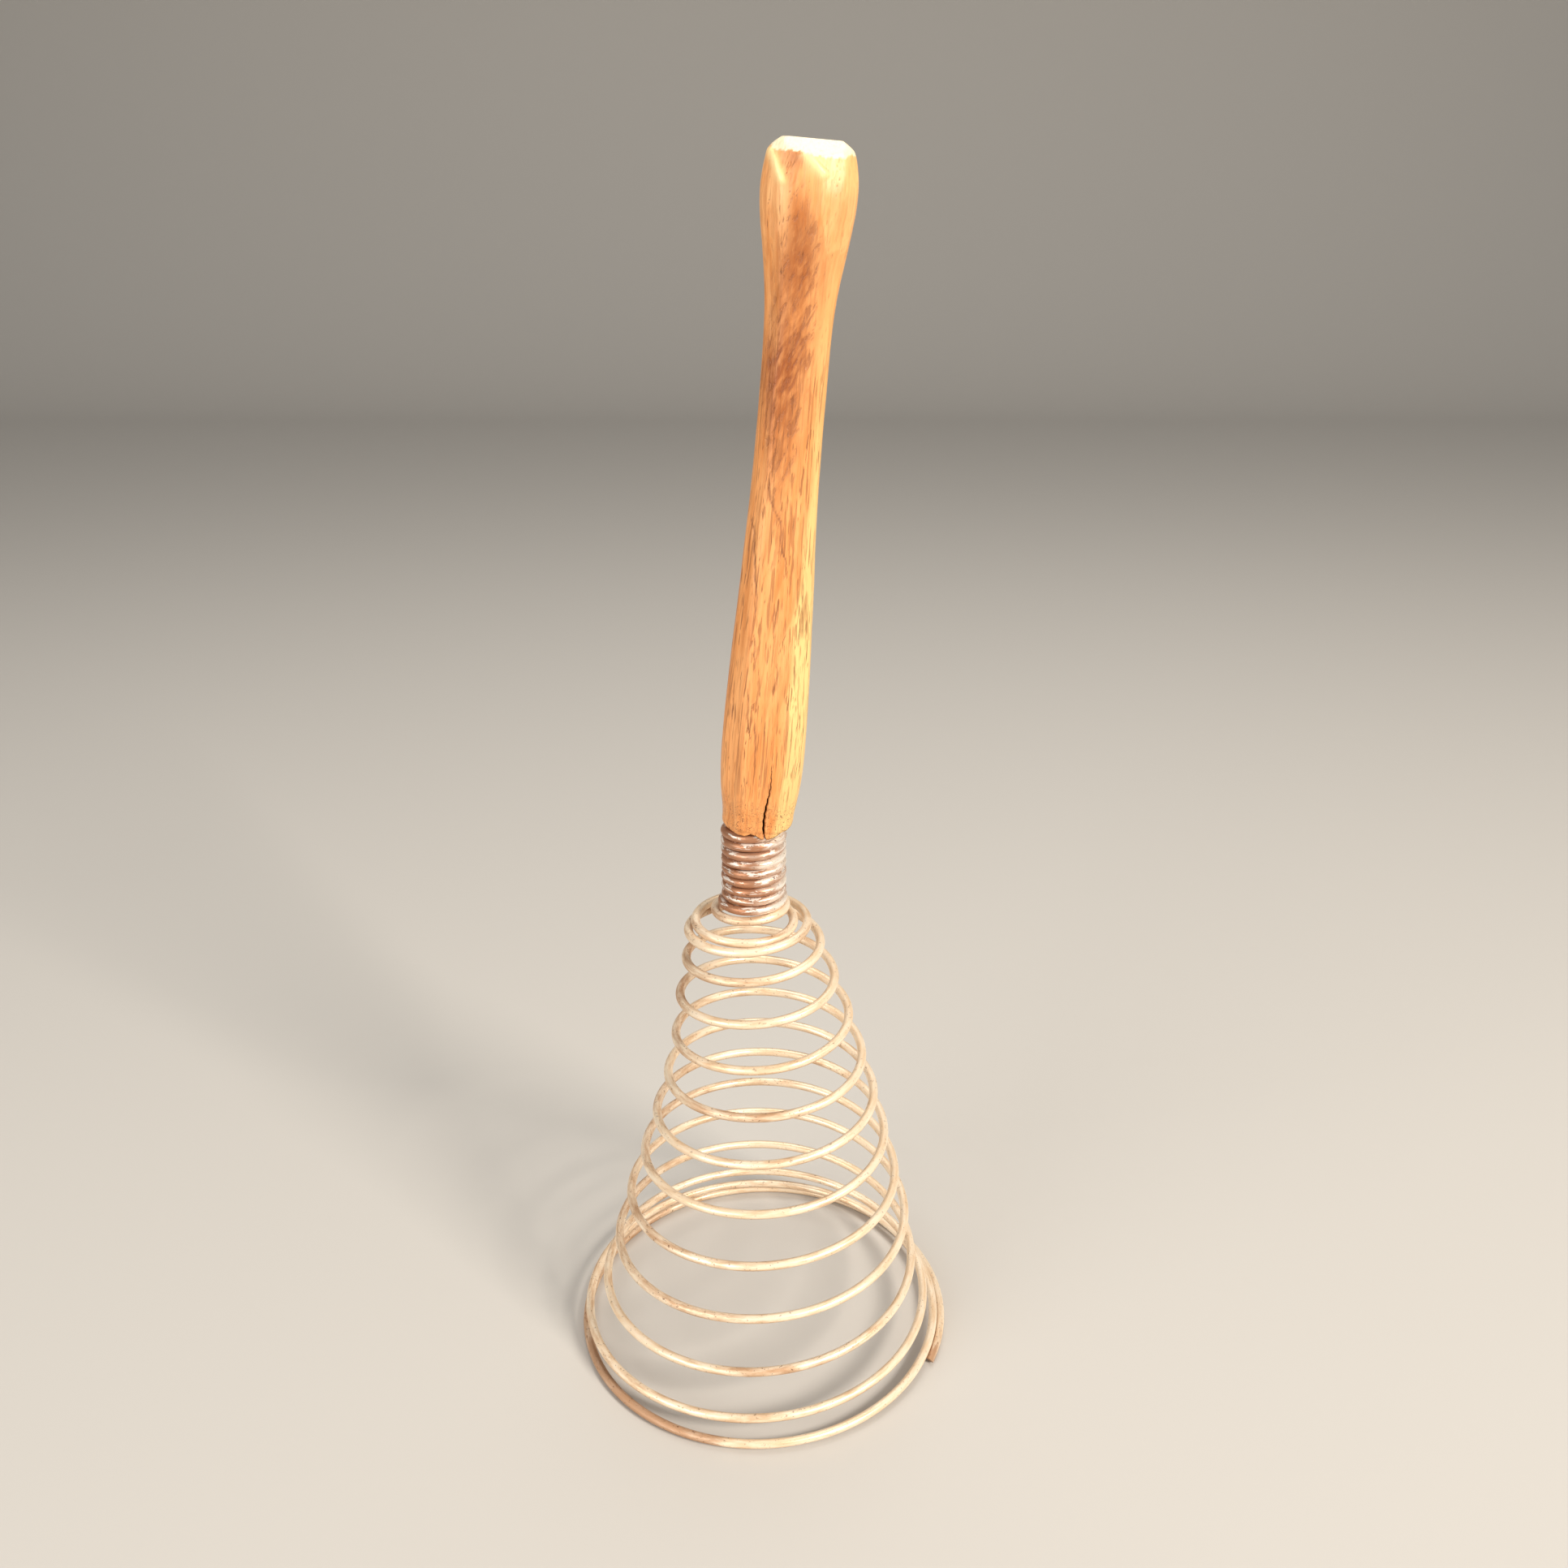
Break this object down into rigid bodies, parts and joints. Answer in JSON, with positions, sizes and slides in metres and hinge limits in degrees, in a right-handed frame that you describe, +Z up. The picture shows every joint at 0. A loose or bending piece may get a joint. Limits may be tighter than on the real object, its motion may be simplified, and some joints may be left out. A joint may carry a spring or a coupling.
{
  "type": "spring plunger",
  "caption": "Whittled wooden handle pushed into the tight neck of one long conical wire spring. Pressing down squeezes the open cone, which springs back and flexes sideways.",
  "frame": {"origin": "on the surface the tool stands on, under the middle of the ground turn", "axes": "+Z up along the spring towards the handle, +X to the side the handle leans to, and the front is -Y"},
  "size_m": [0.169, 0.1684, 0.5015],
  "materials": {
    "handle_wood": "bare, worn and hand polished",
    "spring_wire": "dull plated steel with brown tarnish"
  },
  "bodies": {
    "ground": {"ground_turn": "spring_wire"},
    "turn_01a": {"turn_01a": "spring_wire"},
    "turn_01b": {"turn_01b": "spring_wire"},
    "turn_02a": {"turn_02a": "spring_wire"},
    "turn_02b": {"turn_02b": "spring_wire"},
    "turn_03a": {"turn_03a": "spring_wire"},
    "turn_03b": {"turn_03b": "spring_wire"},
    "turn_04a": {"turn_04a": "spring_wire"},
    "turn_04b": {"turn_04b": "spring_wire"},
    "turn_05a": {"turn_05a": "spring_wire"},
    "turn_05b": {"turn_05b": "spring_wire"},
    "turn_06a": {"turn_06a": "spring_wire"},
    "turn_06b": {"turn_06b": "spring_wire"},
    "turn_07": {"turn_07": "spring_wire"},
    "turn_08": {"turn_08": "spring_wire"},
    "turn_09": {"turn_09": "spring_wire"},
    "turn_10": {"turn_10": "spring_wire"},
    "turn_11": {"turn_11": "spring_wire"},
    "neck_and_handle": {"neck_flare": "spring_wire", "neck_coil": "spring_wire", "handle": "handle_wood"}
  },
  "joints": [
    {"name": "plunge_turn_01", "type": "slide", "parent": "ground", "child": "turn_01a", "axis": [0, 0, -1], "range_m": [-0.000151, 0.000701], "stiffness_N_per_m": 4000, "springref_m": -0.00109},
    {"name": "flex_fore_and_aft", "type": "hinge", "parent": "turn_01a", "child": "turn_01b", "pos_m": [0, 0, 0.00898], "axis": [1, 0, 0], "range_deg": [-4, 4], "stiffness_Nm_per_rad": 4},
    {"name": "plunge_turn_02", "type": "slide", "parent": "turn_01b", "child": "turn_02a", "axis": [0, 0, -1], "range_m": [-0.00193, 0.009], "stiffness_N_per_m": 1533.3, "springref_m": -0.0026},
    {"name": "flex_side_to_side", "type": "hinge", "parent": "turn_02a", "child": "turn_02b", "pos_m": [0, 0, 0.02494], "axis": [0, 1, 0], "range_deg": [-4, 4], "stiffness_Nm_per_rad": 4},
    {"name": "plunge", "type": "slide", "parent": "turn_02b", "child": "turn_03a", "axis": [0, 0, -1], "range_m": [-0.003, 0.014], "stiffness_N_per_m": 985.7, "springref_m": -0.00369},
    {"name": "flex_fore_and_aft_turn_03", "type": "hinge", "parent": "turn_03a", "child": "turn_03b", "pos_m": [0, 0, 0.04772], "axis": [1, 0, 0], "range_deg": [-4, 4], "stiffness_Nm_per_rad": 4},
    {"name": "plunge_turn_04", "type": "slide", "parent": "turn_03b", "child": "turn_04a", "axis": [0, 0, -1], "range_m": [-0.003, 0.014], "stiffness_N_per_m": 985.7, "springref_m": -0.00336},
    {"name": "flex_side_to_side_turn_04", "type": "hinge", "parent": "turn_04a", "child": "turn_04b", "pos_m": [0, 0, 0.07079], "axis": [0, 1, 0], "range_deg": [-4, 4], "stiffness_Nm_per_rad": 4},
    {"name": "plunge_turn_05", "type": "slide", "parent": "turn_04b", "child": "turn_05a", "axis": [0, 0, -1], "range_m": [-0.00279, 0.013], "stiffness_N_per_m": 1061.5, "springref_m": -0.00284},
    {"name": "flex_fore_and_aft_turn_05", "type": "hinge", "parent": "turn_05a", "child": "turn_05b", "pos_m": [0, 0, 0.09251], "axis": [1, 0, 0], "range_deg": [-4, 4], "stiffness_Nm_per_rad": 4},
    {"name": "plunge_turn_06", "type": "slide", "parent": "turn_05b", "child": "turn_06a", "axis": [0, 0, -1], "range_m": [-0.00257, 0.012], "stiffness_N_per_m": 1150, "springref_m": -0.00239},
    {"name": "flex_side_to_side_turn_06", "type": "hinge", "parent": "turn_06a", "child": "turn_06b", "pos_m": [0, 0, 0.11322], "axis": [0, 1, 0], "range_deg": [-4, 4], "stiffness_Nm_per_rad": 4},
    {"name": "plunge_turn_07", "type": "slide", "parent": "turn_06b", "child": "turn_07", "axis": [0, 0, -1], "range_m": [-0.00236, 0.011], "stiffness_N_per_m": 1254.5, "springref_m": -0.002},
    {"name": "plunge_turn_08", "type": "slide", "parent": "turn_07", "child": "turn_08", "axis": [0, 0, -1], "range_m": [-0.00214, 0.01], "stiffness_N_per_m": 1380, "springref_m": -0.00166},
    {"name": "plunge_turn_09", "type": "slide", "parent": "turn_08", "child": "turn_09", "axis": [0, 0, -1], "range_m": [-0.00171, 0.008], "stiffness_N_per_m": 1725, "springref_m": -0.00122},
    {"name": "plunge_turn_10", "type": "slide", "parent": "turn_09", "child": "turn_10", "axis": [0, 0, -1], "range_m": [-0.00129, 0.006], "stiffness_N_per_m": 2300, "springref_m": -0.00084},
    {"name": "plunge_turn_11", "type": "slide", "parent": "turn_10", "child": "turn_11", "axis": [0, 0, -1], "range_m": [-0.00077, 0.0036], "stiffness_N_per_m": 3833.3, "springref_m": -0.00047},
    {"name": "plunge_neck", "type": "slide", "parent": "turn_11", "child": "neck_and_handle", "axis": [0, 0, -1], "range_m": [-0.000151, 0.000701], "stiffness_N_per_m": 4000, "springref_m": -0.00042}
  ],
  "couplings": [
    {"joint": "plunge_turn_01", "follows": "plunge", "ratio": 0.05},
    {"joint": "plunge_turn_02", "follows": "plunge", "ratio": 0.64286},
    {"joint": "flex_fore_and_aft_turn_03", "follows": "flex_fore_and_aft", "ratio": 1},
    {"joint": "plunge_turn_04", "follows": "plunge", "ratio": 1},
    {"joint": "flex_side_to_side_turn_04", "follows": "flex_side_to_side", "ratio": 1},
    {"joint": "plunge_turn_05", "follows": "plunge", "ratio": 0.92857},
    {"joint": "flex_fore_and_aft_turn_05", "follows": "flex_fore_and_aft", "ratio": 1},
    {"joint": "plunge_turn_06", "follows": "plunge", "ratio": 0.85714},
    {"joint": "flex_side_to_side_turn_06", "follows": "flex_side_to_side", "ratio": 1},
    {"joint": "plunge_turn_07", "follows": "plunge", "ratio": 0.78571},
    {"joint": "plunge_turn_08", "follows": "plunge", "ratio": 0.71429},
    {"joint": "plunge_turn_09", "follows": "plunge", "ratio": 0.57143},
    {"joint": "plunge_turn_10", "follows": "plunge", "ratio": 0.42857},
    {"joint": "plunge_turn_11", "follows": "plunge", "ratio": 0.25714},
    {"joint": "plunge_neck", "follows": "plunge", "ratio": 0.05}
  ]
}
